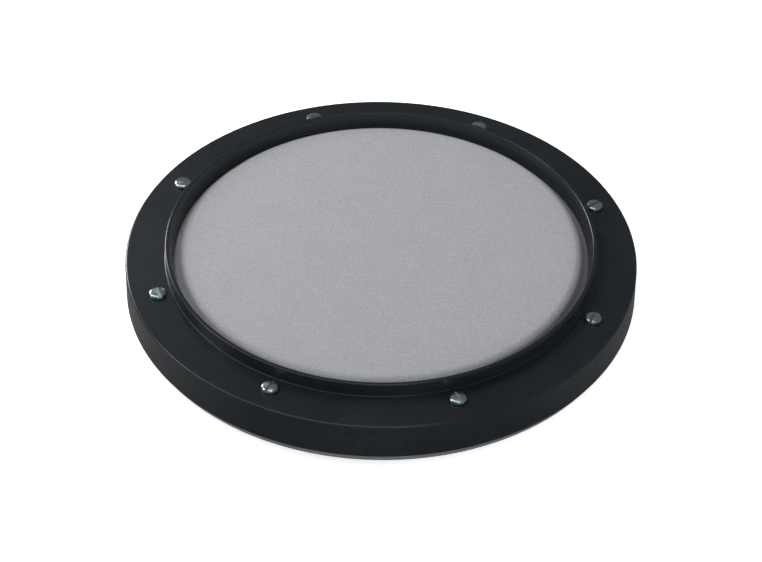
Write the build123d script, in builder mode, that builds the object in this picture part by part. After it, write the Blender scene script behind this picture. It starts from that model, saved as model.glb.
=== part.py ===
from build123d import *
from math import cos, pi, radians, sin, tan
import os

os.makedirs("parts", exist_ok=True)

# A round tunable practice pad: a rim with eight screws pulls a mesh head down over the base's bearing edge.
# Millimetres. The origin is on the table under the middle of the pad, and +Z is up.

# Mesh head, its hoop and the edge that it is stretched over
playing_radius = 94.0       # flat part of the mesh, up to where it starts to roll over the bearing edge
head_rise = 3.6             # playing face above the flange's outer edge
mesh_thickness = 0.5
mesh_gap = 0.3              # mesh to bearing edge
bearing_rounding = 5.2      # round-over of the bearing edge
bearing_bevel = 52.0        # degrees below level, steeper than the collar so that the mesh leaves the edge
collar_angle = 47.0         # degrees below level, the mesh between the bearing edge and its hoop
collar_run = 3.0            # straight part of the collar that shows inside the rim, measured level
mesh_bury = 3.0             # depth of the mesh's edge in the resin
hoop_setback = 1.2          # flesh hoop's inside, outwards from the foot of the rim's inner wall
hoop_width = 5.3
hoop_height = 7.2
hoop_leg = 0.8              # wall of the channel
inner_leg_drop = 1.0        # the inner leg ends lower, so that the mesh passes over it
filler_drop = 1.6           # resin's face below the top of the channel

# Rim
flange_height = 24.4        # flange's outer edge above the table
flange_thickness = 3.0
flange_crown = 1.0          # rise of the flange from its outer edge to the lip
flange_margin = 12.6        # screw centres to the flange's outer edge
lip_height = 8.0            # above the flange's outer edge
lip_width = 2.1
lip_lean = 2.0              # the inner wall leans out by this on its way up
lip_rounding = 0.7
lip_root = 0.6              # fillet where the lip meets the flange
rim_edge = 1.2              # round corner between flange and skirt
skirt_height = 18.2
skirt_draft = 0.35          # the skirt widens by this on its way down
skirt_wall = 2.2
skirt_gap = 0.4             # least gap between skirt and base, at the top of the skirt
collar_gap = 0.8            # height of the rim's inner edge above the mesh
hoop_depth = 4.0            # top of the flesh hoop below the flange's outer edge

# Screws, number 8 with 32 threads per inch, as plain shanks of the thread's outer size
screw_count = 8
screw_start = 22.5          # degrees from +X to the first screw
screw_pitch = 25.4 / 32
screw_radius = 2.083
screw_tip_gap = 0.6         # point to the bottom of the boss's hole with the rim pulled right down
screw_point = 0.6
screw_hole_gap = 0.3        # shank to the rim's hole
thread_gap = 0.05           # shank to the insert's bore
screw_head_radius = 4.2
screw_head_height = 2.7
screw_head_rounding = 1.4
slot_width = 1.3
slot_depth = 1.3
slot_angles = [42, 95, 15, 164, 118, 65, 121, 71]  # where each slot was left after tuning, degrees from +X
spot_face_gap = 0.3         # head to the edge of its flat seat in the flange
spot_face_depth = 0.1       # depth of the seat at its outer side, where it is least

# Screw bosses and inserts in the base
boss_wall = 1.2
hoop_boss_gap = 0.6         # flesh hoop to the bosses outside it
boss_gap = 1.5              # boss to flange with the rim pulled right down
boss_floor = 1.4
insert_wall = 0.67
insert_length = 9.5
insert_chamfer = 0.3
insert_relief = 0.35        # shank to the boss's own hole, below the insert

# Base
base_wall = 2.5
wall_gap = 1.2              # base's wall to flange with the rim pulled right down
hoop_shell_gap = 1.6        # bearing ring to flesh hoop
hoop_floor_gap = 0.8        # flesh hoop to the trough's floor with the rim pulled right down
bearing_lip = 0.8           # flat and rounded inner corner of the bearing edge
bearing_inner_wall = 2.2
bearing_outer_wall = 2.6
bearing_cap = 4.5           # height of the solid cap over the cored ring
deck_thickness = 2.5
rib_thickness = 2.0
radial_rib_count = 8
ring_rib_count = 3
rib_overlap = 0.5           # ribs run into what they join by this
wall_edge = 0.8             # round bottom corner of the base's wall

# Foam, rubber and the stand thread
foam_thickness = 8.0
foam_gap = 0.6              # foam to mesh
foam_edge_gap = 0.4
rubber_thickness = 3.0
rubber_proud = 1.0          # rubber below the base's wall
rubber_edge_gap = 0.3
rubber_edge = 0.6
centre_boss_radius = 10.5
centre_hole_gap = 1.5       # centre boss to the hole in the rubber
centre_boss_stand = 1.0     # centre boss below the top of the rubber
stand_thread_radius = 4.0   # M8
stand_insert_radius = 6.0
stand_insert_top_gap = 0.4
stand_flange_radius = 9.0
stand_flange_thickness = 1.0

# Radii round each screw
insert_radius = screw_radius + thread_gap + insert_wall
boss_radius = insert_radius + boss_wall

# Heights
lip_top = flange_height + lip_height
flange_underside = flange_height - flange_thickness
skirt_bottom = flange_height - skirt_height
head_top = flange_height + head_rise
bearing_top = head_top - mesh_thickness - mesh_gap
hoop_top = flange_height - hoop_depth
hoop_bottom = hoop_top - hoop_height
pulled_down = screw_pitch   # the rim can be pulled one turn of the screws below its tuned height
trough_top = hoop_bottom - pulled_down - hoop_floor_gap
trough_underside = trough_top - base_wall
wall_top = flange_underside - pulled_down - wall_gap
boss_top = flange_underside - pulled_down - boss_gap
foam_top = head_top - mesh_thickness - foam_gap
deck_top = foam_top - foam_thickness
deck_underside = deck_top - deck_thickness
rib_bottom = rubber_thickness
centre_boss_bottom = rib_bottom - centre_boss_stand

# Radii, from the head outwards
mesh_rounding = bearing_rounding + mesh_gap + mesh_thickness
collar_slope = tan(radians(collar_angle))
collar_start = playing_radius + mesh_rounding * sin(radians(collar_angle))
collar_start_height = head_top - mesh_rounding * (1 - cos(radians(collar_angle)))
rim_inner = collar_start + collar_run
rim_inner_height = collar_start_height - collar_run * collar_slope + collar_gap
lip_inner = rim_inner + lip_lean
lip_outer = lip_inner + lip_width
hoop_inner = rim_inner + hoop_setback
hoop_outer = hoop_inner + hoop_width
foot_start = rim_inner + (rim_inner_height - hoop_top) / collar_slope
bolt_circle = hoop_outer + hoop_boss_gap + boss_radius
rim_radius = bolt_circle + flange_margin
base_radius = rim_radius - skirt_wall - skirt_gap
wall_inner = base_radius - base_wall
bearing_inner = playing_radius - bearing_lip
bearing_outer = hoop_inner - hoop_shell_gap
foam_radius = bearing_inner - foam_edge_gap
rubber_radius = wall_inner - rubber_edge_gap
rubber_hole = centre_boss_radius + centre_hole_gap

# The head's flat seat is cut to a little below the flange at its outer side
seat_reach = bolt_circle + screw_head_radius + spot_face_gap
seat_rise = flange_crown * (rim_radius - seat_reach) / (rim_radius - lip_outer)
seat_height = flange_height + seat_rise - spot_face_depth
screw_length = seat_height - pulled_down - rib_bottom - boss_floor - screw_tip_gap


def finish(part, name):
    part.label = name
    export_step(part, f"parts/{name}.step")


def corner(sketch, across, up):
    """The sketch's corner nearest to a point."""
    return sketch.vertices().sort_by_distance((across, up))[0]


def section(inner, outer, bottom, top):
    """A rectangle of the open sketch, from one radius to another and from one height to another."""
    with Locations(((inner + outer) / 2, (bottom + top) / 2)):
        Rectangle(outer - inner, top - bottom)


# Mesh head: flat, then rolled over the bearing edge, down the collar and straight down into the resin
mesh_turn = (hoop_inner + hoop_outer) / 2
half_mesh = mesh_thickness / 2
mesh_outside_turn = collar_start_height - (mesh_turn + half_mesh - collar_start) * collar_slope
mesh_inside_turn = (
    collar_start_height
    - (mesh_turn - half_mesh - collar_start) * collar_slope
    - mesh_thickness / cos(radians(collar_angle))
)
mesh_bottom = mesh_outside_turn - mesh_bury
inside_rounding = mesh_rounding - mesh_thickness
inside_start = playing_radius + inside_rounding * sin(radians(collar_angle))
inside_start_height = head_top - mesh_rounding + inside_rounding * cos(radians(collar_angle))
with BuildPart() as mesh_head:
    with BuildSketch(Plane.XZ):
        with BuildLine():
            Line((0, head_top), (playing_radius, head_top))
            ThreePointArc(
                (playing_radius, head_top),
                (
                    playing_radius + mesh_rounding * sin(radians(collar_angle / 2)),
                    head_top - mesh_rounding * (1 - cos(radians(collar_angle / 2))),
                ),
                (collar_start, collar_start_height),
            )
            Polyline(
                (collar_start, collar_start_height),
                (mesh_turn + half_mesh, mesh_outside_turn),
                (mesh_turn + half_mesh, mesh_bottom),
                (mesh_turn - half_mesh, mesh_bottom),
                (mesh_turn - half_mesh, mesh_inside_turn),
                (inside_start, inside_start_height),
            )
            ThreePointArc(
                (inside_start, inside_start_height),
                (
                    playing_radius + inside_rounding * sin(radians(collar_angle / 2)),
                    head_top - mesh_rounding + inside_rounding * cos(radians(collar_angle / 2)),
                ),
                (playing_radius, head_top - mesh_thickness),
            )
            Polyline(
                (playing_radius, head_top - mesh_thickness),
                (0, head_top - mesh_thickness),
                (0, head_top),
            )
        make_face()
    revolve(axis=Axis.Z)
finish(mesh_head.part, "mesh_head")


# Flesh hoop: a channel that opens upwards, its inner leg lower than its outer one
with BuildPart() as flesh_hoop:
    with BuildSketch(Plane.XZ) as channel:
        section(hoop_inner, hoop_inner + hoop_leg, hoop_bottom, hoop_top - inner_leg_drop)
        section(hoop_inner, hoop_outer, hoop_bottom, hoop_bottom + hoop_leg)
        section(hoop_outer - hoop_leg, hoop_outer, hoop_bottom, hoop_top)
        outer_corner = corner(channel, hoop_outer, hoop_bottom)
        inner_corner = corner(channel, hoop_inner, hoop_bottom)
        fillet([outer_corner, inner_corner], hoop_leg / 2)
    revolve(axis=Axis.Z)
finish(flesh_hoop.part, "flesh_hoop")


# Resin in the channel, with the mesh's edge set in it
with BuildPart() as hoop_filler:
    with BuildSketch(Plane.XZ):
        section(hoop_inner + hoop_leg, hoop_outer - hoop_leg, hoop_bottom + hoop_leg, hoop_top - filler_drop)
    revolve(axis=Axis.Z)
    add(mesh_head.part, mode=Mode.SUBTRACT)
finish(hoop_filler.part, "hoop_filler")


# Rim: lip, flange, skirt and the foot that presses on the flesh hoop, in one moulding
with BuildPart() as rim:
    with BuildSketch(Plane.XZ) as profile:
        with BuildLine():
            Polyline(
                (rim_inner, rim_inner_height),
                (lip_inner, lip_top),
                (lip_outer, lip_top),
                (lip_outer, flange_height + flange_crown),
                (rim_radius, flange_height),
                (rim_radius + skirt_draft, skirt_bottom),
                (rim_radius + skirt_draft - skirt_wall, skirt_bottom),
                (rim_radius - skirt_wall, flange_underside),
                (hoop_outer, flange_underside),
                (hoop_outer, hoop_top),
                (foot_start, hoop_top),
                close=True,
            )
        make_face()
        fillet([corner(profile, lip_inner, lip_top), corner(profile, lip_outer, lip_top)], lip_rounding)
        fillet(corner(profile, lip_outer, flange_height + flange_crown), lip_root)
        fillet(corner(profile, rim_radius, flange_height), rim_edge)
        fillet(corner(profile, rim_radius + skirt_draft, skirt_bottom), skirt_wall / 4)
    revolve(axis=Axis.Z)
    with BuildSketch(Plane.XY.offset(seat_height)):
        with PolarLocations(bolt_circle, screw_count, start_angle=screw_start):
            Circle(screw_head_radius + spot_face_gap)
    extrude(amount=flange_crown, mode=Mode.SUBTRACT)
    with BuildSketch(Plane.XY.offset(hoop_top)):
        with PolarLocations(bolt_circle, screw_count, start_angle=screw_start):
            Circle(screw_radius + screw_hole_gap)
    extrude(amount=lip_top - hoop_top, mode=Mode.SUBTRACT)
finish(rim.part, "rim")


# Base: bearing ring round a deck for the foam, a trough for the flesh hoop, a wall inside the skirt, and ribs
bevel_start = playing_radius + bearing_rounding * sin(radians(bearing_bevel))
bevel_start_height = bearing_top - bearing_rounding * (1 - cos(radians(bearing_bevel)))
bevel_end_height = bevel_start_height - (bearing_outer - bevel_start) * tan(radians(bearing_bevel))
core_top = bearing_top - bearing_cap
core_inner = bearing_inner + bearing_inner_wall
core_outer = bearing_outer - bearing_outer_wall
with BuildPart() as base_shell:
    with BuildSketch(Plane.XZ) as shell:
        with BuildLine():
            Polyline(
                (core_inner, core_top),
                (core_inner, rib_bottom),
                (bearing_inner, rib_bottom),
                (bearing_inner, bearing_top),
                (playing_radius, bearing_top),
            )
            ThreePointArc(
                (playing_radius, bearing_top),
                (
                    playing_radius + bearing_rounding * sin(radians(bearing_bevel / 2)),
                    bearing_top - bearing_rounding * (1 - cos(radians(bearing_bevel / 2))),
                ),
                (bevel_start, bevel_start_height),
            )
            Polyline(
                (bevel_start, bevel_start_height),
                (bearing_outer, bevel_end_height),
                (bearing_outer, rib_bottom),
                (core_outer, rib_bottom),
                (core_outer, core_top),
                (core_inner, core_top),
            )
        make_face()
        section(0, bearing_inner + rib_overlap, deck_underside, deck_top)
        section(bearing_outer - rib_overlap, base_radius, trough_underside, trough_top)
        section(wall_inner, base_radius, rubber_proud, wall_top)
        section(0, centre_boss_radius, centre_boss_bottom, deck_underside + rib_overlap)
        rib_spacing = (bearing_inner - centre_boss_radius) / (ring_rib_count + 1)
        for ring in range(ring_rib_count):
            rib_middle = centre_boss_radius + rib_spacing * (ring + 1)
            rib_sides = (rib_middle - rib_thickness / 2, rib_middle + rib_thickness / 2)
            section(*rib_sides, rib_bottom, deck_underside + rib_overlap)
        fillet(corner(shell, base_radius, rubber_proud), wall_edge)
        fillet(corner(shell, bearing_inner, bearing_top), bearing_lip * 0.9)
    revolve(axis=Axis.Z)
    with BuildSketch(Plane.XY.offset(rib_bottom)):
        with PolarLocations((bearing_inner + rib_overlap) / 2, radial_rib_count):
            Rectangle(bearing_inner + rib_overlap, rib_thickness)
    extrude(until=Until.NEXT)
    with BuildSketch(Plane.XY.offset(rib_bottom)):
        with PolarLocations((core_inner + base_radius - base_wall / 2) / 2, radial_rib_count):
            Rectangle(base_radius - base_wall / 2 - core_inner + rib_overlap, rib_thickness)
    extrude(amount=trough_underside + rib_overlap - rib_bottom)
    with BuildSketch(Plane.XY.offset(rib_bottom)):
        with PolarLocations(bolt_circle, screw_count, start_angle=screw_start):
            Circle(boss_radius)
        with PolarLocations((bolt_circle + wall_inner) / 2, screw_count, start_angle=screw_start):
            Rectangle(wall_inner - bolt_circle + rib_overlap, rib_thickness)
    extrude(amount=boss_top - rib_bottom)
    with BuildSketch(Plane.XY.offset(rib_bottom + boss_floor)):
        with PolarLocations(bolt_circle, screw_count, start_angle=screw_start):
            Circle(screw_radius + insert_relief)
    extrude(amount=boss_top - rib_bottom - boss_floor, mode=Mode.SUBTRACT)
    with BuildSketch(Plane.XY.offset(boss_top - insert_length)):
        with PolarLocations(bolt_circle, screw_count, start_angle=screw_start):
            Circle(insert_radius)
    extrude(amount=insert_length, mode=Mode.SUBTRACT)
    with BuildSketch(Plane.XY.offset(centre_boss_bottom)):
        Circle(stand_insert_radius)
    extrude(amount=deck_underside - centre_boss_bottom, mode=Mode.SUBTRACT)
finish(base_shell.part, "base_shell")


# Foam disc on the deck, inside the bearing ring
with BuildPart() as damping_foam:
    with BuildSketch(Plane.XY.offset(deck_top)):
        Circle(foam_radius)
    extrude(amount=foam_thickness)
finish(damping_foam.part, "damping_foam")


# Rubber sheet under the ribs, standing a little below the base's wall
with BuildPart() as rubber_sheet:
    with BuildSketch(Plane.XY):
        Circle(rubber_radius)
        Circle(rubber_hole, mode=Mode.SUBTRACT)
    extrude(amount=rubber_thickness)
    bottom_edges = rubber_sheet.edges().group_by(Axis.Z)[0]
    fillet(bottom_edges, rubber_edge)
finish(rubber_sheet.part, "rubber_sheet")


# Stand insert: a flanged bush with the thread that a stand's rod screws into
with BuildPart() as stand_insert:
    with BuildSketch(Plane.XZ):
        stand_bore = stand_thread_radius + thread_gap
        flange_bottom = centre_boss_bottom - stand_flange_thickness
        section(stand_bore, stand_flange_radius, flange_bottom, centre_boss_bottom)
        section(stand_bore, stand_insert_radius, flange_bottom, deck_underside - stand_insert_top_gap)
    revolve(axis=Axis.Z)
finish(stand_insert.part, "stand_insert")


# Screws and their inserts, one of each at each place on the bolt circle
for number in range(screw_count):
    place = radians(screw_start + number * 360 / screw_count)
    across = bolt_circle * cos(place)
    along = bolt_circle * sin(place)

    with BuildPart() as tension_screw:
        with BuildSketch(Plane((across, along, seat_height))):
            Circle(screw_head_radius)
        extrude(amount=screw_head_height)
        top_edge = tension_screw.edges().group_by(Axis.Z)[-1]
        fillet(top_edge, screw_head_rounding)
        with BuildSketch(Plane((across, along, seat_height + screw_head_height - slot_depth))):
            Rectangle(2 * screw_head_radius + 1, slot_width, rotation=slot_angles[number])
        extrude(amount=slot_depth, mode=Mode.SUBTRACT)
        with BuildSketch(Plane((across, along, seat_height))):
            Circle(screw_radius)
        extrude(amount=-screw_length)
        point_edge = tension_screw.edges().group_by(Axis.Z)[0]
        chamfer(point_edge, screw_point)
    finish(tension_screw.part, f"tension_screw_{number + 1}")

    with BuildPart() as screw_insert:
        with BuildSketch(Plane((across, along, boss_top))):
            Circle(insert_radius)
            Circle(screw_radius + thread_gap, mode=Mode.SUBTRACT)
        extrude(amount=-insert_length)
        insert_mouth = screw_insert.edges().group_by(Axis.Z)[-1].sort_by(SortBy.LENGTH)[-1]
        chamfer(insert_mouth, insert_chamfer)
    finish(screw_insert.part, f"screw_insert_{number + 1}")
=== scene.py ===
import bpy
import numpy as np
from mathutils import Matrix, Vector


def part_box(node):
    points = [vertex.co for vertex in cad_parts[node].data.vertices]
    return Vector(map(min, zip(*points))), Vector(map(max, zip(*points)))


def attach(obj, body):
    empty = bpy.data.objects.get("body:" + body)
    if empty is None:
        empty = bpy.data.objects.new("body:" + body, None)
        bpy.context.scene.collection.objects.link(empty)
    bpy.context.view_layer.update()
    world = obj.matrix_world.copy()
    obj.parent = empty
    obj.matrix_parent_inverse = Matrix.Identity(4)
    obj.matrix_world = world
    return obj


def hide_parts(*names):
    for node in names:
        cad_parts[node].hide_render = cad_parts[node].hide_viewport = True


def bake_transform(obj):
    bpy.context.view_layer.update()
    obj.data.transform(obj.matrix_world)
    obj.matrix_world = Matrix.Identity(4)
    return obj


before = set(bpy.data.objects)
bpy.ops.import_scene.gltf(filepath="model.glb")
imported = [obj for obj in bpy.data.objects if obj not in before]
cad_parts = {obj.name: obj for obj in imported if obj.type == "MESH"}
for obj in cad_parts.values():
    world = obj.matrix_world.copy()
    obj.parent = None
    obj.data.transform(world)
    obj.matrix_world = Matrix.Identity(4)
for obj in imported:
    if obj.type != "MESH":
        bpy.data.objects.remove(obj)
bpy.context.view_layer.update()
mm = 0.001


# Camera: it looks down at the pad from the front, a little from its right side
cameraPlan = {
    "elevation": 39.52,         # degrees above the table
    "azimuth": 3.9,             # degrees round from the front towards +X
    "distance": 1156 * mm,
    "target": (0, 0, 24.4 * mm),
    "aimRight": 0.09 * mm,      # the aim passes this far beside the target
    "aimUp": -14.76 * mm,
    "roll": 0.716,              # degrees
    "lens": 111.35,
    "sensor": 36,
}


def unit(vector):
    return vector / np.linalg.norm(vector)


def placeCamera(plan):
    # Direction from the target to the camera: (sin a cos e, -cos a cos e, sin e)
    elevation, azimuth, roll = np.radians([plan["elevation"], plan["azimuth"], plan["roll"]])
    level = np.cos(elevation)
    back = np.array([np.sin(azimuth) * level, -np.cos(azimuth) * level, np.sin(elevation)])
    position = np.array(plan["target"]) + back * plan["distance"]
    right = unit(np.cross(-back, [0, 0, 1]))
    up = np.cross(right, -back)
    forward = unit(-back * plan["distance"] + right * plan["aimRight"] + up * plan["aimUp"])
    right = unit(np.cross(forward, [0, 0, 1]))
    up = np.cross(right, forward)
    across = np.cos(roll) * right + np.sin(roll) * up
    upward = np.cos(roll) * up - np.sin(roll) * right
    matrix = np.eye(4)
    matrix[:3] = np.column_stack([across, upward, -forward, position])
    cameraData = bpy.data.cameras.new("camera")
    cameraData.lens = plan["lens"]
    cameraData.sensor_width = plan["sensor"]
    camera = bpy.data.objects.new("camera", cameraData)
    camera.matrix_world = Matrix(matrix.tolist())
    bpy.context.scene.collection.objects.link(camera)
    bpy.context.scene.camera = camera


placeCamera(cameraPlan)
print("camera placed")


# Shapes that every piece uses

def newPiece(name, points, faces):
    mesh = bpy.data.meshes.new(name)
    mesh.from_pydata(points.tolist(), [], faces)
    mesh.validate()
    piece = bpy.data.objects.new(name, mesh)
    bpy.context.scene.collection.objects.link(piece)
    return piece


def smoothShade(piece, sharpAngle):
    piece.data.shade_smooth()
    piece.data.set_sharp_from_angle(angle=np.radians(sharpAngle))


def cornerArc(before, corner, after, radius, steps):
    # The arc touches both runs at radius / tan(half the corner's angle) from the corner
    toBefore = unit(before - corner)
    toAfter = unit(after - corner)
    half = np.arccos(np.clip(toBefore @ toAfter, -1, 1)) / 2
    centre = corner + unit(toBefore + toAfter) * radius / np.sin(half)
    spokes = np.array([toBefore, toAfter]) * radius / np.tan(half) + corner - centre
    start, end = np.arctan2(spokes[:, 1], spokes[:, 0])
    turn = (end - start + np.pi) % (2 * np.pi) - np.pi
    angles = start + turn * np.linspace(0, 1, steps + 1)
    return centre + radius * np.column_stack([np.cos(angles), np.sin(angles)])


def roundedOutline(corners, closed, support=0.12 * mm):
    # Corners are (across, up, radius). Support points beside the ends of a run keep flats flat when shaded
    spots = np.array([corner[:2] for corner in corners], float)
    runs = []
    for number, (across, up, radius) in enumerate(corners):
        isEnd = not closed and number in (0, len(corners) - 1)
        if isEnd or radius == 0:
            runs.append(spots[number][None])
        else:
            before = spots[number - 1]
            after = spots[(number + 1) % len(corners)]
            steps = int(np.clip(round(radius / (0.1 * mm)), 3, 10))
            runs.append(cornerArc(before, spots[number], after, radius, steps))
    points = []
    for number, run in enumerate(runs):
        points.append(run)
        if closed or number < len(runs) - 1:
            start = run[-1]
            end = runs[(number + 1) % len(runs)][0]
            length = np.linalg.norm(end - start)
            if length > 4 * support:
                share = support / length
                points.append(start + (end - start) * np.array([[share], [1 - share]]))
    return np.vstack(points)


def ringFaces(rows, columns, wrapRows):
    # Quads between neighbouring rows and columns of a grid whose columns close round
    row = np.arange(rows if wrapRows else rows - 1)[:, None] * columns
    nextRow = (row + columns) % (rows * columns)
    column = np.arange(columns)[None]
    nextColumn = (column + 1) % columns
    quads = [row + column, row + nextColumn, nextRow + nextColumn, nextRow + column]
    return np.stack(quads, -1).reshape(-1, 4)


def turnedPoints(outline, segments, shape=None):
    # Point (row, column) is the outline's row turned by the column's angle; shape may change its radius
    angles = np.linspace(0, 2 * np.pi, segments, endpoint=False)[None]
    across = np.repeat(outline[:, :1], segments, 1)
    up = np.repeat(outline[:, 1:], segments, 1)
    if shape:
        across = shape(across, up, angles)
    return np.stack([across * np.cos(angles), across * np.sin(angles), up], -1)


def turnedPiece(name, outline, segments, closed, centre=(0, 0), shape=None):
    # The outline runs anticlockwise in (across, up); an open one starts and ends on the axis
    points = turnedPoints(outline, segments, shape)
    points[..., 0] += centre[0]
    points[..., 1] += centre[1]
    if closed:
        return newPiece(name, points.reshape(-1, 3), ringFaces(len(outline), segments, True).tolist())
    inner = points[1:-1].reshape(-1, 3)
    quads = ringFaces(len(outline) - 2, segments, False)
    bottom, top = len(inner), len(inner) + 1
    column = np.arange(segments)
    nextColumn = (column + 1) % segments
    last = len(inner) - segments
    bottomFan = np.column_stack([np.full(segments, bottom), nextColumn, column])
    topFan = np.column_stack([last + column, last + nextColumn, np.full(segments, top)])
    faces = quads.tolist() + bottomFan.tolist() + topFan.tolist()
    return newPiece(name, np.vstack([inner, points[0, 0], points[-1, 0]]), faces)


def threadRipple(up, angles, pitch):
    # 1 on the crest and 0 in the root of a right-hand thread
    return 0.5 + 0.5 * np.cos(2 * np.pi * up / pitch - angles)


def cutAway(piece, cutter):
    change = piece.modifiers.new("cut", "BOOLEAN")
    change.operation = "DIFFERENCE"
    change.solver = "EXACT"
    change.object = cutter
    bpy.context.view_layer.update()
    seen = piece.evaluated_get(bpy.context.evaluated_depsgraph_get())
    finished = bpy.data.meshes.new_from_object(seen)
    piece.modifiers.clear()
    piece.data = finished
    bpy.data.objects.remove(cutter)


# Shader maths: a Signal is one socket of a material, and + - * / ** on it add Math nodes
class Signal:
    def __init__(self, tree, socket=None):
        self.tree = tree
        self.socket = socket

    def make(self, kind, settings=None, values=None, output=0):
        # One node: its settings first, then numbers, colours or links for its sockets
        node = self.tree.nodes.new("ShaderNode" + kind)
        for key, value in (settings or {}).items():
            setattr(node, key, value)
        for key, value in (values or {}).items():
            if isinstance(value, Signal):
                self.tree.links.new(value.socket, node.inputs[key])
            else:
                node.inputs[key].default_value = value
        return Signal(self.tree, node.outputs[output])

    def part(self, name):
        return Signal(self.tree, self.socket.node.outputs[name])

    def math(self, operation, *numbers):
        return self.make("Math", {"operation": operation}, dict(enumerate(numbers)))

    def __add__(self, other):
        return self.math("ADD", self, other)

    def __radd__(self, other):
        return self.math("ADD", other, self)

    def __sub__(self, other):
        return self.math("SUBTRACT", self, other)

    def __rsub__(self, other):
        return self.math("SUBTRACT", other, self)

    def __mul__(self, other):
        return self.math("MULTIPLY", self, other)

    def __rmul__(self, other):
        return self.math("MULTIPLY", other, self)

    def __truediv__(self, other):
        return self.math("DIVIDE", self, other)

    def __pow__(self, other):
        return self.math("POWER", self, other)

    def smooth(self, low, high):
        # 0 below low and 1 above high, with a smooth step between
        limits = {"Value": self, "From Min": low, "From Max": high}
        return self.make("MapRange", {"interpolation_type": "SMOOTHSTEP"}, limits)

    def bell(self, middle, width):
        # 1 at the middle, falling to 0 over the width on both sides
        return 1 - self.math("ABSOLUTE", self - middle).smooth(0.0, width)

    def blendColours(self, first, second):
        settings = {"data_type": "RGBA", "clamp_factor": True}
        inks = [ink if isinstance(ink, Signal) else (*ink, 1) for ink in (first, second)]
        return self.make("Mix", settings, {0: self, 6: inks[0], 7: inks[1]}, 2)

    def noise(self, where, scale, detail=2.0, roughness=0.5):
        values = {"Vector": where, "Scale": scale, "Detail": detail, "Roughness": roughness}
        return self.make("TexNoise", {}, values)

    def bump(self, height, distance, strength):
        values = {"Height": height, "Distance": distance, "Strength": strength}
        return self.make("Bump", {}, values)


def startFinish(name):
    material = bpy.data.materials.new(name)
    material.use_nodes = True
    material.node_tree.nodes.clear()
    start = Signal(material.node_tree)
    return material, start, start.make("TexCoord", {}, {}, "Object")


def endFinish(start, values):
    # The shader's own sockets take what is the same all over the surface
    shader = start.make("BsdfPrincipled", {}, values)
    surface = start.tree.nodes.new("ShaderNodeOutputMaterial")
    start.tree.links.new(shader.socket, surface.inputs["Surface"])


def polar(place):
    # Distance from the pad's axis, and height
    split = place.make("SeparateXYZ", {}, {0: place})
    x, y, z = split.part("X"), split.part("Y"), split.part("Z")
    squares = x * x + y * y
    return squares ** 0.5, z


# Rim: lip, flange, skirt, and the foot that presses on the flesh hoop, with a seat and hole for each screw
rimLow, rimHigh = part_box("rim")
screwBoxes = [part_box(f"tension_screw_{number}") for number in range(1, 9)]
rimPlan = {
    "segments": 720,
    "flangeRadius": 125.09 * mm,
    "flangeHeight": 24.4 * mm,          # at its outer edge
    "flangeCrown": 1.0 * mm,            # it rises by this towards the lip
    "flangeThickness": 3.0 * mm,
    "lipOuter": 105.49 * mm,
    "lipInner": 103.39 * mm,            # at the top of the inner wall
    "footInner": 101.39 * mm,           # at the bottom of the inner wall
    "footInnerHeight": 23.67 * mm,
    "footOuter": 107.89 * mm,
    "footStart": 104.44 * mm,
    "footHeight": 20.4 * mm,
    "skirtWall": 2.2 * mm,
    "lipRound": 0.7 * mm,
    "lipRoot": 0.6 * mm,
    "edgeRound": 1.2 * mm,
    "brimRound": 0.55 * mm,
    "insideRound": 0.25 * mm,
    "seatRadius": 4.5 * mm,
    "holeRadius": 2.383 * mm,
    "seatGap": 0.03 * mm,               # seat to the underside of the screw's head
    "cutterBelow": 1 * mm,              # how far the seats' cutter passes the foot
    "cutterAbove": 2 * mm,
    "cutterSegments": 64,
    "sharpAngle": 32,                   # degrees; here and below, a fold sharper than this keeps its edge
}


def makeRim(plan):
    # Profile (across, up) of the moulding, anticlockwise, carried round the axis
    lipTop = rimHigh.z
    skirtOuter = rimHigh.x
    underside = plan["flangeHeight"] - plan["flangeThickness"]
    inside = plan["insideRound"]
    corners = [
        (plan["footStart"], plan["footHeight"], inside),
        (plan["footOuter"], plan["footHeight"], inside),
        (plan["footOuter"], underside, inside),
        (plan["flangeRadius"] - plan["skirtWall"], underside, inside),
        (skirtOuter - plan["skirtWall"], rimLow.z, inside),
        (skirtOuter, rimLow.z, plan["brimRound"]),
        (plan["flangeRadius"], plan["flangeHeight"], plan["edgeRound"]),
        (plan["lipOuter"], plan["flangeHeight"] + plan["flangeCrown"], plan["lipRoot"]),
        (plan["lipOuter"], lipTop, plan["lipRound"]),
        (plan["lipInner"], lipTop, plan["lipRound"]),
        (plan["footInner"], plan["footInnerHeight"], inside),
    ]
    rim = turnedPiece("rimMoulding", roundedOutline(corners, True), plan["segments"], True)
    seatHeight = screwBoxes[0][1].z - screwPlan["headHeight"] - plan["seatGap"]
    below = plan["footHeight"] - plan["cutterBelow"]
    above = seatHeight + plan["cutterAbove"]
    cutter = [
        (0, below),
        (plan["holeRadius"], below),
        (plan["holeRadius"], seatHeight),
        (plan["seatRadius"], seatHeight),
        (plan["seatRadius"], above),
        (0, above),
    ]
    cutAway(rim, joined("seats", [
        turnedPiece("seat", np.array(cutter), plan["cutterSegments"], False, screwCentre(box))
        for box in screwBoxes
    ]))
    smoothShade(rim, plan["sharpAngle"])
    return rim


def screwCentre(box):
    return (box[0].x + box[1].x) / 2, (box[0].y + box[1].y) / 2


def joined(name, pieces):
    # One piece from several that don't touch
    points = []
    faces = []
    for piece in pieces:
        start = sum(len(block) for block in points)
        mesh = piece.data
        block = np.empty(len(mesh.vertices) * 3, np.float32)
        mesh.vertices.foreach_get("co", block)
        points.append(block.reshape(-1, 3))
        faces.extend([start + corner for corner in face.vertices] for face in mesh.polygons)
        bpy.data.objects.remove(piece)
    return newPiece(name, np.vstack(points), faces)


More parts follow.
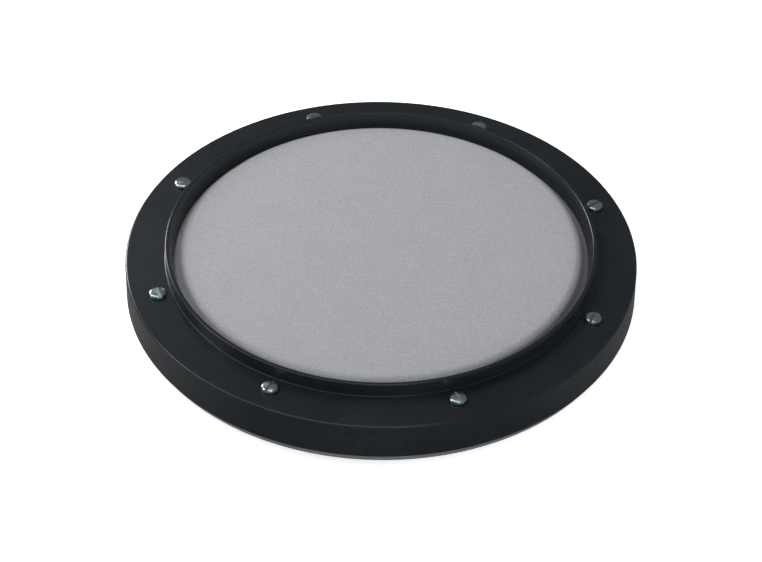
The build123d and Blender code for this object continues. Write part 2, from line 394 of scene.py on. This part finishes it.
# Tension screws: a pan head with a rounded rim and a slot, and a threaded shank
screwPlan = {
    "segments": 64,
    "headHeight": 2.7 * mm,
    "headRadius": 4.2 * mm,
    "headRound": 1.4 * mm,
    "headCrown": 0.25 * mm,         # rise of the top inside its rounded rim
    "headFoot": 0.15 * mm,
    "slotWidth": 1.3 * mm,
    "slotDepth": 1.3 * mm,
    "slotAngles": [42, 95, 15, 164, 118, 65, 121, 71],
    "shankRadius": 2.083 * mm,
    "pitch": 25.4 / 32 * mm,
    "threadDepth": 0.42 * mm,
    "rowsPerTurn": 8,
    "point": 0.6 * mm,
    "neck": 0.9 * mm,               # plain part under the head
    "shoulder": 0.3 * mm,           # the head's outline starts this far below its seat
    "fillet": 0.1 * mm,
    "support": 0.06 * mm,
    "crownRings": 9,
    "slotSpare": 1 * mm,            # how far the slot's cutter passes the head
    "same": 0.001 * mm,             # two radii closer than this are the same
    "sharpAngle": 38,
}


def makeScrew(number, plan):
    # Profile (across, up) from the point to the middle of the head; the shank's rows then follow a thread
    low, high = screwBoxes[number]
    centre = screwCentre(screwBoxes[number])
    seat = high.z - plan["headHeight"]
    shank = plan["shankRadius"]
    threadStart = low.z + plan["point"]
    threadEnd = seat - plan["neck"]
    rows = int((threadEnd - threadStart) / plan["pitch"] * plan["rowsPerTurn"])
    heights = np.linspace(threadStart, threadEnd, rows)
    headSide = roundedOutline([
        (shank, seat - plan["shoulder"], 0),
        (shank, seat, plan["fillet"]),
        (plan["headRadius"], seat, plan["headFoot"]),
        (plan["headRadius"], high.z - plan["headCrown"], plan["headRound"]),
        (0, high.z - plan["headCrown"], 0),
    ], False, plan["support"])
    # The top rises from its rounded edge as headCrown * (1 - (across / reach) ^ 2)
    reach = plan["headRadius"] - plan["headRound"]
    inside = reach * np.linspace(1, 0, plan["crownRings"] + 1)[1:]
    crown = plan["headCrown"] * (1 - (inside / reach) ** 2)
    top = np.column_stack([inside, high.z - plan["headCrown"] + crown])
    head = np.vstack([headSide[headSide[:, 0] > reach * 0.99], top])
    outline = np.vstack([
        [(0, low.z), (shank - plan["point"], low.z)],
        np.column_stack([np.full(rows, shank), heights]),
        head,
    ])

    def threaded(across, up, angles):
        fade = np.clip((threadEnd - up) / plan["pitch"], 0, 1) * (up > threadStart - plan["same"])
        root = 1 - threadRipple(up, angles, plan["pitch"])
        return across - plan["threadDepth"] * root * fade * (np.abs(across - shank) < plan["same"])

    name = f"tensionScrew{number + 1}"
    screw = turnedPiece(name, outline, plan["segments"], False, centre, threaded)
    half = np.array([plan["headRadius"] + plan["slotSpare"], plan["slotWidth"] / 2])
    floor = high.z - plan["slotDepth"]
    signs = np.array([(-1, -1), (1, -1), (1, 1), (-1, 1)])
    angle = np.radians(plan["slotAngles"][number])
    turn = np.array([[np.cos(angle), np.sin(angle)], [-np.sin(angle), np.cos(angle)]])
    corners = (signs * half) @ turn + centre
    bar = np.vstack([
        np.column_stack([corners, np.full(4, floor)]),
        np.column_stack([corners, np.full(4, high.z + plan["slotSpare"])]),
    ])
    sides = [(3, 2, 1, 0), (4, 5, 6, 7), (0, 1, 5, 4), (1, 2, 6, 5), (2, 3, 7, 6), (3, 0, 4, 7)]
    cutAway(screw, newPiece("slot", bar, sides))
    smoothShade(screw, plan["sharpAngle"])
    return screw


# Mesh head: flat, rolled over the bearing edge, down the collar and straight down into the resin
headLow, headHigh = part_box("mesh_head")
headPlan = {
    "segments": 512,
    "thickness": 0.5 * mm,
    "flatRadius": 94 * mm,
    "rounding": 6 * mm,             # outside of the roll over the bearing edge
    "collarAngle": 47,              # degrees below level
    "turnRound": 0.8 * mm,          # where the collar turns down into the resin
    "flatRings": 12,
    "ringSpread": 0.8,              # power that draws the flat's rings outwards
    "arcSteps": 12,
    "slopeSteps": 13,
    "turnSteps": 6,
    "dropSteps": 5,
    "sharpAngle": 50,
}


def makeHead(plan):
    # The sheet's middle line (across, up): a flat, an arc, a slope and a straight drop, with half the
    # thickness added along its normal on each side
    half = plan["thickness"] / 2
    angle = np.radians(plan["collarAngle"])
    level = headHigh.z - half
    radius = plan["rounding"] - half
    flat = np.column_stack([
        plan["flatRadius"] * np.linspace(0, 1, plan["flatRings"], endpoint=False) ** plan["ringSpread"],
        np.full(plan["flatRings"], level),
    ])
    arcAngles = np.linspace(0, angle, plan["arcSteps"] + 1)
    arc = np.column_stack([
        plan["flatRadius"] + radius * np.sin(arcAngles),
        level - radius * (1 - np.cos(arcAngles)),
    ])
    dropAcross = headHigh.x - half
    cornerUp = arc[-1, 1] - (dropAcross - arc[-1, 0]) * np.tan(angle)
    corner = np.array([dropAcross, cornerUp])
    bottom = np.array([dropAcross, headLow.z])
    bend = cornerArc(arc[-1], corner, bottom, plan["turnRound"], plan["turnSteps"])
    slopeShares = np.linspace(0, 1, plan["slopeSteps"] + 1)[1:-1, None]
    slope = arc[-1] + (bend[0] - arc[-1]) * slopeShares
    dropShares = np.linspace(0, 1, plan["dropSteps"] + 1)[1:, None]
    drop = bend[-1] + (bottom - bend[-1]) * dropShares
    middle = np.vstack([flat, arc, slope, bend, drop])
    along = np.gradient(middle, axis=0)
    along /= np.linalg.norm(along, axis=1)[:, None]
    outward = np.column_stack([-along[:, 1], along[:, 0]])
    outward[0] = (0, 1)
    outside = middle + outward * half
    inside = middle - outward * half
    outline = np.vstack([inside, outside[::-1]])
    head = turnedPiece("meshHead", outline, plan["segments"], False)
    steps = np.linalg.norm(np.diff(middle, axis=0), axis=1)
    reach = np.concatenate([[0], np.cumsum(steps)])
    addClothMap(head, reach, plan["segments"])
    smoothShade(head, plan["sharpAngle"])
    return head, reach[-1]


def addClothMap(head, reach, segments):
    # Each point's place on the flat cloth, in metres: its distance along the cloth, in its direction from
    # the axis
    angles = np.linspace(0, 2 * np.pi, segments, endpoint=False)
    ways = np.column_stack([np.cos(angles), np.sin(angles)])
    flatPlaces = np.vstack([
        (reach[1:, None, None] * ways).reshape(-1, 2),
        (reach[:0:-1, None, None] * ways).reshape(-1, 2),
        np.zeros((2, 2)),
    ])
    corners = np.empty(len(head.data.loops), np.int32)
    head.data.loops.foreach_get("vertex_index", corners)
    layer = head.data.uv_layers.new(name="clothMap")
    layer.data.foreach_set("uv", flatPlaces[corners].astype(np.float32).ravel())


# Foam disc under the head, its faces a little wavy, with soft edges
foamLow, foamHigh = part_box("damping_foam")
foamPlan = {
    "segments": 256,
    "edgeRound": 1.6 * mm,
    "rings": 30,
    "support": 1 * mm,
    "dish": 0.25 * mm,              # the cut faces sink by up to this
    "waves": 6,
    "waveRate": 60,                 # spread of the waves' rates, in radians per metre
    "seed": 7,
    "sharpAngle": 60,
}


def makeFoam(plan):
    # Profile (across, up) with rounded edges; its faces sink by dish * (0.5 + half the mean of the waves)
    radius = foamHigh.x
    outline = roundedOutline([
        (0, foamLow.z, 0),
        (radius, foamLow.z, plan["edgeRound"]),
        (radius, foamHigh.z, plan["edgeRound"]),
        (0, foamHigh.z, 0),
    ], False, plan["support"])
    inner = radius - plan["edgeRound"] - plan["support"]
    rings = inner * np.linspace(0, 1, plan["rings"] + 1)[1:-1]
    bottomRings = np.column_stack([rings, np.full(len(rings), foamLow.z)])
    topRings = np.column_stack([rings[::-1], np.full(len(rings), foamHigh.z)])
    outline = np.vstack([outline[:1], bottomRings, outline[3:-3], topRings, outline[-1:]])
    foam = turnedPiece("dampingFoam", outline, plan["segments"], False)
    points = np.empty(len(foam.data.vertices) * 3, np.float32)
    foam.data.vertices.foreach_get("co", points)
    points = points.reshape(-1, 3)
    dice = np.random.default_rng(plan["seed"])
    waves = dice.normal(0, plan["waveRate"], (plan["waves"], 2))
    phases = dice.uniform(0, 2 * np.pi, plan["waves"])
    wave = np.sin(points[:, :2] @ waves.T + phases).mean(1) * 0.5 + 0.5
    middle = (foamLow.z + foamHigh.z) / 2
    points[:, 2] -= np.sign(points[:, 2] - middle) * plan["dish"] * wave
    foam.data.vertices.foreach_set("co", points.ravel())
    smoothShade(foam, plan["sharpAngle"])
    return foam


# Rubber sheet under the base
rubberLow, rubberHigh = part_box("rubber_sheet")
rubberPlan = {
    "segments": 360,
    "holeRadius": 12 * mm,
    "edgeRound": 0.6 * mm,
    "topRound": 0.2 * mm,
    "sharpAngle": 40,
}


def makeRubber(plan):
    # Profile (across, up) of a flat ring with rounded edges
    outline = roundedOutline([
        (plan["holeRadius"], rubberLow.z, plan["edgeRound"]),
        (rubberHigh.x, rubberLow.z, plan["edgeRound"]),
        (rubberHigh.x, rubberHigh.z, plan["topRound"]),
        (plan["holeRadius"], rubberHigh.z, plan["topRound"]),
    ], True)
    rubber = turnedPiece("rubberSheet", outline, plan["segments"], True)
    smoothShade(rubber, plan["sharpAngle"])
    return rubber


# Stand insert: a flanged brass bush with the thread for a stand's rod
insertLow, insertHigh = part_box("stand_insert")
insertPlan = {
    "segments": 72,
    "boreRadius": 4.05 * mm,
    "bodyRadius": 6.0 * mm,
    "flangeThickness": 1.0 * mm,
    "pitch": 1.25 * mm,
    "threadDepth": 0.6 * mm,
    "rowsPerTurn": 12,
    "mouth": 0.7 * mm,
    "edgeRound": 0.2 * mm,
    "same": 0.001 * mm,
    "sharpAngle": 50,
}


def makeInsert(plan):
    # Profile (across, up) of the bush, anticlockwise; the bore's rows then follow a thread
    bore = plan["boreRadius"]
    edge = plan["edgeRound"]
    flangeTop = insertLow.z + plan["flangeThickness"]
    outside = roundedOutline([
        (bore, insertLow.z, 0),
        (insertHigh.x, insertLow.z, edge),
        (insertHigh.x, flangeTop, edge),
        (plan["bodyRadius"], flangeTop, edge),
        (plan["bodyRadius"], insertHigh.z, edge),
        (bore, insertHigh.z, 0),
    ], False)
    rows = int((insertHigh.z - insertLow.z) / plan["pitch"] * plan["rowsPerTurn"])
    heights = np.linspace(insertHigh.z, insertLow.z, rows)[1:-1]
    outline = np.vstack([outside, np.column_stack([np.full(len(heights), bore), heights])])

    def threaded(across, up, angles):
        fromEnds = np.minimum(up - insertLow.z, insertHigh.z - up)
        fade = np.clip(fromEnds / plan["mouth"], 0, 1)
        crest = threadRipple(up, angles, plan["pitch"])
        return across - plan["threadDepth"] * crest * fade * (across < bore + plan["same"])

    insert = turnedPiece("standInsert", outline, plan["segments"], True, shape=threaded)
    smoothShade(insert, plan["sharpAngle"])
    return insert


rim = makeRim(rimPlan)
print("rim made:", len(rim.data.polygons), "faces")
screws = [makeScrew(number, screwPlan) for number in range(8)]
print("screws made:", len(screws[0].data.polygons), "faces each")
meshHead, clothReach = makeHead(headPlan)
print("mesh head made, cut to a disc", round(2 * clothReach / mm, 1), "mm across")
foam = makeFoam(foamPlan)
rubber = makeRubber(rubberPlan)
standInsert = makeInsert(insertPlan)
print("foam, rubber and stand insert made")


# Finishes

def rimFinish():
    # Satin black moulding: soft flow marks round the rim, and edges rubbed a little brighter
    material, start, place = startFinish("satinBlackMoulding")
    radius, height = polar(place)
    mottle = start.noise(place, 28, 3)
    rings = start.make("CombineXYZ", {}, {0: radius * 420, 1: height * 420, 2: mottle * 0.6})
    flow = start.noise(rings, 1, 2)
    edges = radius.bell(rimPlan["lipOuter"], 0.5 * mm) + radius.bell(rimPlan["lipInner"], 0.5 * mm)
    edges = edges * height.smooth(rimHigh.z - 0.6 * mm, rimHigh.z)
    brim = radius.bell(rimPlan["flangeRadius"], 0.5 * mm) * height.bell(rimPlan["flangeHeight"], 0.6 * mm)
    rubbed = (edges + brim) * mottle.smooth(0.35, 0.7)
    plain = mottle.smooth(0.3, 0.75).blendColours((0.0076, 0.0098, 0.0114), (0.0104, 0.0130, 0.0150))
    colour = (rubbed * 0.6).blendColours(plain, (0.024, 0.026, 0.028))
    roughness = 0.27 + (mottle - 0.5) * 0.03 + (flow - 0.5) * 0.01 - rubbed * 0.04
    normal = start.bump(start.noise(place, 60, 1), 0.04 * mm, 0.15)
    endFinish(start, {
        "Base Color": colour,
        "Roughness": roughness,
        "Normal": normal,
        "Specular IOR Level": 0.5,
    })
    return material


def clothFinish():
    # A 2/2 twill on the flat cloth: the warp is on top where (column - row) mod 4 < 2, shown as faint
    # diagonals under the thread's own unevenness
    material, start, place = startFinish("wovenMeshGrey")
    flat = start.make("UVMap", {"uv_map": "clothMap"}, {})
    split = start.make("SeparateXYZ", {}, {0: flat})
    pitch = 0.46 * mm
    across = split.part("X") / pitch
    along = split.part("Y") / pitch
    acrossIn = across.math("FRACT", across) * 2 - 1
    alongIn = along.math("FRACT", along) * 2 - 1
    step = (across.math("FLOOR", across) - along.math("FLOOR", along)) * 0.25 + 0.1
    warpOver = step.math("LESS_THAN", step.math("FRACT", step), 0.5)
    warp = (1 - acrossIn ** 2.0) * (1 - alongIn ** 2.0 * 0.3)
    weft = (1 - alongIn ** 2.0) * (1 - acrossIn ** 2.0 * 0.3)
    height = warp * warpOver + weft * (1 - warpOver)
    spun = start.noise(start.make("CombineXYZ", {}, {0: across * 0.9, 1: along * 0.05}), 1, 2)
    filled = start.noise(start.make("CombineXYZ", {}, {0: across * 0.05, 1: along * 0.9}), 1, 2)
    diagonal = start.make("CombineXYZ", {}, {0: (across - along) * 0.42, 1: (across + along) * 0.13})
    slubs = start.noise(diagonal, 1, 2)
    mottle = start.noise(flat, 45, 3)
    flecks = start.noise(flat, 1500, 1)
    grain = (spun + filled) * 0.25 + slubs * 0.5
    ribs = (warpOver - 0.5) * (0.04 + mottle * 0.12)
    uneven = (grain - 0.5) * 0.6 + (flecks - 0.5) * 0.55 + (mottle - 0.5) * 0.08
    light = 0.80 + height * 0.20 + ribs + uneven
    plain = light.smooth(0.3, 1.3).blendColours((0.100, 0.102, 0.106), (0.375, 0.381, 0.394))
    reach = (split.part("X") ** 2.0 + split.part("Y") ** 2.0) ** 0.5
    # Over the collar the cloth is darker; from 99.5 mm out it is lighter again, a painted lift that
    # offsets the lip's shadow there
    collar = reach.smooth(99.5 * mm, 102 * mm)
    collar = collar.blendColours((0.215, 0.218, 0.224), (0.37, 0.375, 0.385))
    colour = reach.smooth(97.3 * mm, 98.7 * mm).blendColours(plain, collar)
    endFinish(start, {
        "Base Color": colour,
        "Roughness": 0.72 - height * 0.10,
        "Normal": start.bump(height, 0.09 * mm, 0.5),
        "Specular IOR Level": 0.35,
        "Sheen Weight": 0.08,
        "Sheen Roughness": 0.5,
    })
    return material


def zincFinish():
    # Zinc with a thin blue passivation: patches of tint and fine scratches; down in the slot it is bluer,
    # and darker with painted shade
    material, start, place = startFinish("bluePassivatedZinc")
    split = start.make("SeparateXYZ", {}, {0: place})
    height = split.part("Z")
    top = screwBoxes[0][1].z
    patches = start.noise(place, 420, 3)
    drawn = start.make("Mapping", {}, {"Vector": place, "Scale": (900, 7000, 900)})
    scratch = start.noise(drawn, 1, 2)
    # Painted shade in the slot: towards its floor the zinc turns darker as well as bluer
    slotShadeAndTint = 1 - height.smooth(top - screwPlan["slotDepth"], top - 0.7 * screwPlan["slotDepth"])
    tint = patches.smooth(0.35, 0.68).blendColours((0.80, 0.83, 0.84), (0.58, 0.68, 0.71))
    colour = (slotShadeAndTint * 0.7).blendColours(tint, (0.32, 0.52, 0.57))
    endFinish(start, {
        "Base Color": colour,
        "Metallic": 1.0,
        "Roughness": 0.24 + (patches - 0.5) * 0.20 + (scratch - 0.5) * 0.12 + slotShadeAndTint * 0.12,
        "Normal": start.bump(scratch, 0.01 * mm, 0.35),
    })
    return material


def baseFinish():
    # Grey moulded plastic with a fine matt grain and faint mottling
    material, start, place = startFinish("mattGreyMoulding")
    grain = start.noise(place, 2200, 3)
    mottle = start.noise(place, 35, 3)
    colour = mottle.smooth(0.3, 0.7).blendColours((0.100, 0.101, 0.103), (0.123, 0.124, 0.126))
    endFinish(start, {
        "Base Color": colour,
        "Roughness": 0.55 + (grain - 0.5) * 0.15,
        "Normal": start.bump(grain, 0.03 * mm, 0.4),
        "Specular IOR Level": 0.4,
    })
    return material


def rubberFinish():
    # Black foamed rubber: a fine pebbled skin with a greyish bloom in patches
    material, start, place = startFinish("blackRubber")
    skin = {"Vector": place, "Scale": 900}
    pebbles = start.make("TexVoronoi", {"feature": "SMOOTH_F1"}, skin, "Distance")
    bloom = start.noise(place, 22, 4, 0.6)
    colour = bloom.smooth(0.35, 0.8).blendColours((0.016, 0.016, 0.017), (0.034, 0.034, 0.036))
    endFinish(start, {
        "Base Color": colour,
        "Roughness": 0.78 + (bloom - 0.5) * 0.2,
        "Normal": start.bump(pebbles, 0.08 * mm, 0.5),
        "Specular IOR Level": 0.3,
    })
    return material


def foamFinish():
    # Charcoal open-cell foam: pale struts, with painted shade darkening the pores between them
    material, start, place = startFinish("charcoalFoam")
    pores = {"Vector": place, "Scale": 1100}
    cells = start.make("TexVoronoi", {"feature": "DISTANCE_TO_EDGE"}, pores, "Distance")
    # Painted shade: the pores between the struts are darkened
    struts = 1 - cells.smooth(0.02, 0.16)
    colour = struts.blendColours((0.012, 0.012, 0.013), (0.075, 0.076, 0.080))
    endFinish(start, {
        "Base Color": colour,
        "Roughness": 0.95,
        "Normal": start.bump(struts, 0.25 * mm, 0.8),
        "Specular IOR Level": 0.2,
    })
    return material


def metalFinish(name, dull, bright, roughness):
    # Turned or rolled metal: rings of fine tool marks round the axis, and slow patches of tarnish
    material, start, place = startFinish(name)
    radius, height = polar(place)
    marks = start.noise(start.make("CombineXYZ", {}, {0: radius * 4200, 1: height * 4200}), 1, 2)
    tarnish = start.noise(place, 120, 3)
    endFinish(start, {
        "Base Color": tarnish.smooth(0.3, 0.7).blendColours(bright, dull),
        "Metallic": 1.0,
        "Roughness": roughness + (marks - 0.5) * 0.16 + (tarnish - 0.5) * 0.14,
        "Normal": start.bump(marks, 0.012 * mm, 0.4),
    })
    return material


def resinFinish():
    # Amber cast resin, with slow clouds and a smooth skin
    material, start, place = startFinish("amberResin")
    clouds = start.noise(place, 140, 3)
    endFinish(start, {
        "Base Color": clouds.smooth(0.3, 0.7).blendColours((0.46, 0.30, 0.10), (0.62, 0.45, 0.20)),
        "Roughness": 0.22 + (clouds - 0.5) * 0.1,
        "Normal": start.bump(clouds, 0.05 * mm, 0.3),
    })
    return material


def wear(piece, material):
    piece.data.materials.clear()
    piece.data.materials.append(material)


def wearNode(node, material):
    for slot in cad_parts[node].material_slots:
        slot.material = material


zinc = zincFinish()
brass = metalFinish("turnedBrass", (0.55, 0.38, 0.15), (0.80, 0.60, 0.30), 0.3)
wear(rim, rimFinish())
wear(meshHead, clothFinish())
wear(foam, foamFinish())
wear(rubber, rubberFinish())
wear(standInsert, brass)
for screw in screws:
    wear(screw, zinc)
wearNode("base_shell", baseFinish())
aluminium = metalFinish("rolledAluminium", (0.62, 0.62, 0.63), (0.80, 0.80, 0.81), 0.36)
wearNode("flesh_hoop", aluminium)
wearNode("hoop_filler", resinFinish())
for number in range(1, 9):
    wearNode(f"screw_insert_{number}", brass)
print("finishes made")


# What each piece stands for, and what it moves with
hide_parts("rim")
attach(rim, "rim")
for number, screw in enumerate(screws, 1):
    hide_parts(f"tension_screw_{number}")
    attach(screw, f"screw_{number}")
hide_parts("mesh_head")
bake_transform(meshHead)
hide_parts("damping_foam")
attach(foam, "base")
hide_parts("rubber_sheet")
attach(rubber, "base")
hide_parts("stand_insert")
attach(standInsert, "base")


# Studio: a pale floor that curves up far away, and soft lights
stagePlan = {
    "floorRadius": 3.2,
    "curve": 1.2,
    "wallHeight": 3.0,
    "colour": (0.90, 0.90, 0.90),
    "sky": (0.11, 0.115, 0.125),
    "glow": 0.6,
    "hub": 0.02,
    "bendSteps": 16,
    "segments": 96,
    # A card that reflections see in place of the floor, a painted reflection: it glows on its left and is
    # dim on its right
    "cardRadius": 2,
    "cardTop": -0.01,
    "cardThickness": 0.002,
    "cardGlow": 0.25,
    "cardRise": (-0.15, -0.06),
    "cardFall": (0.08, 0.15),
    "cardLoss": 0.6,
    "cardDim": (0.2, 0.2, 0.2),
}
lamps = [
    # name, place, aim, width, height, watts, colour, shows in reflections
    ("overhead", (-0.54, 0.32, 0.88), (-0.54, 0.32, 0), 0.6, 0.6, 5.6, (1.0, 1.0, 1.0), False),
    ("top", (-0.42, -0.12, 0.95), (-0.42, -0.12, 0), 1.1, 0.75, 2.6, (1.0, 1.0, 1.0), True),
    ("backLeft", (-1.06, 0.95, 0.47), (-0.05, 0, 0.02), 0.42, 0.42, 10, (1.0, 0.99, 0.98), True),
    ("window", (-0.434, 1.096, 0.976), (-0.1, 0, 0.02), 0.14, 0.3, 0.09, (0.97, 0.98, 1.0), True),
    ("sideLeft", (-1.25, -0.05, 0.72), (-0.1, 0, 0.02), 0.4, 0.4, 3, (0.98, 0.98, 1.0), True),
    ("front", (0.35, -1.25, 1.15), (0, 0, 0.02), 0.5, 0.4, 1.5, (0.95, 0.98, 1.0), True),
    ("fillRight", (1.05, -0.25, 0.75), (0, 0, 0.02), 0.6, 0.6, 3.2, (0.95, 0.98, 1.0), False),
]


def makeFloor(plan):
    # Profile (across, up): a flat floor, a quarter circle and a wall, carried round the axis
    radius = plan["floorRadius"]
    curve = plan["curve"]
    angles = np.linspace(0, np.pi / 2, plan["bendSteps"] + 1)
    bend = np.column_stack([radius + curve * np.sin(angles), curve * (1 - np.cos(angles))])
    wall = [[radius + curve, plan["wallHeight"]]]
    rings = np.vstack([[[plan["hub"], 0], [radius * 0.5, 0]], bend, wall])
    segments = plan["segments"]
    points = turnedPoints(rings, segments).reshape(-1, 3)
    quads = ringFaces(len(rings), segments, False)[:, ::-1]
    floor = newPiece("studioFloor", points, quads.tolist() + [list(range(segments))])
    floor.data.shade_smooth()
    floor.visible_glossy = False
    material, start, place = startFinish("paleFloor")
    tone = start.noise(place, 3, 2).smooth(0.2, 0.8)
    endFinish(start, {
        "Base Color": tone.blendColours(plan["colour"], tuple(0.99 * tint for tint in plan["colour"])),
        "Roughness": 0.9,
        "Specular IOR Level": 0.1,
        "Emission Color": (1, 1, 1, 1),
        "Emission Strength": plan["glow"],
    })
    wear(floor, material)


def makeCard(plan):
    # Profile (across, up) of a thin disc
    reach, top = plan["cardRadius"], plan["cardTop"]
    low = top - plan["cardThickness"]
    outline = np.array([[0, low], [reach, low], [reach, top], [0, top]])
    card = turnedPiece("reflectionGlowCard", outline, plan["segments"], False)
    card.visible_camera = False
    card.visible_diffuse = False
    card.visible_shadow = False
    material, start, place = startFinish("paintedReflectionGlow")
    across = start.make("SeparateXYZ", {}, {0: place}).part("X")
    side = across.smooth(*plan["cardRise"]) - across.smooth(*plan["cardFall"]) * plan["cardLoss"]
    endFinish(start, {
        "Base Color": (0, 0, 0, 1),
        "Specular IOR Level": 0.0,
        "Emission Color": side.blendColours((1, 1, 1), plan["cardDim"]),
        "Emission Strength": plan["cardGlow"],
    })
    wear(card, material)


def hangLamp(name, place, aim, width, height, watts, colour, shows):
    lampData = bpy.data.lights.new(name, "AREA")
    lampData.shape = "RECTANGLE"
    lampData.size = width
    lampData.size_y = height
    lampData.energy = watts
    lampData.color = colour
    lamp = bpy.data.objects.new(name, lampData)
    back = unit(np.array(place) - np.array(aim))
    across = unit(np.cross([0, 0.001, 1], back))    # nearly upright, so that it is never along back
    matrix = np.eye(4)
    matrix[:3] = np.column_stack([across, np.cross(back, across), back, place])
    lamp.matrix_world = Matrix(matrix.tolist())
    lamp.visible_glossy = shows
    bpy.context.scene.collection.objects.link(lamp)


makeFloor(stagePlan)
makeCard(stagePlan)
for lamp in lamps:
    hangLamp(*lamp)
world = bpy.data.worlds.new("studioAir")
world.use_nodes = True
world.node_tree.nodes["Background"].inputs["Color"].default_value = (*stagePlan["sky"], 1)
bpy.context.scene.world = world
bpy.context.scene.view_settings.view_transform = "Standard"
print("studio lit")
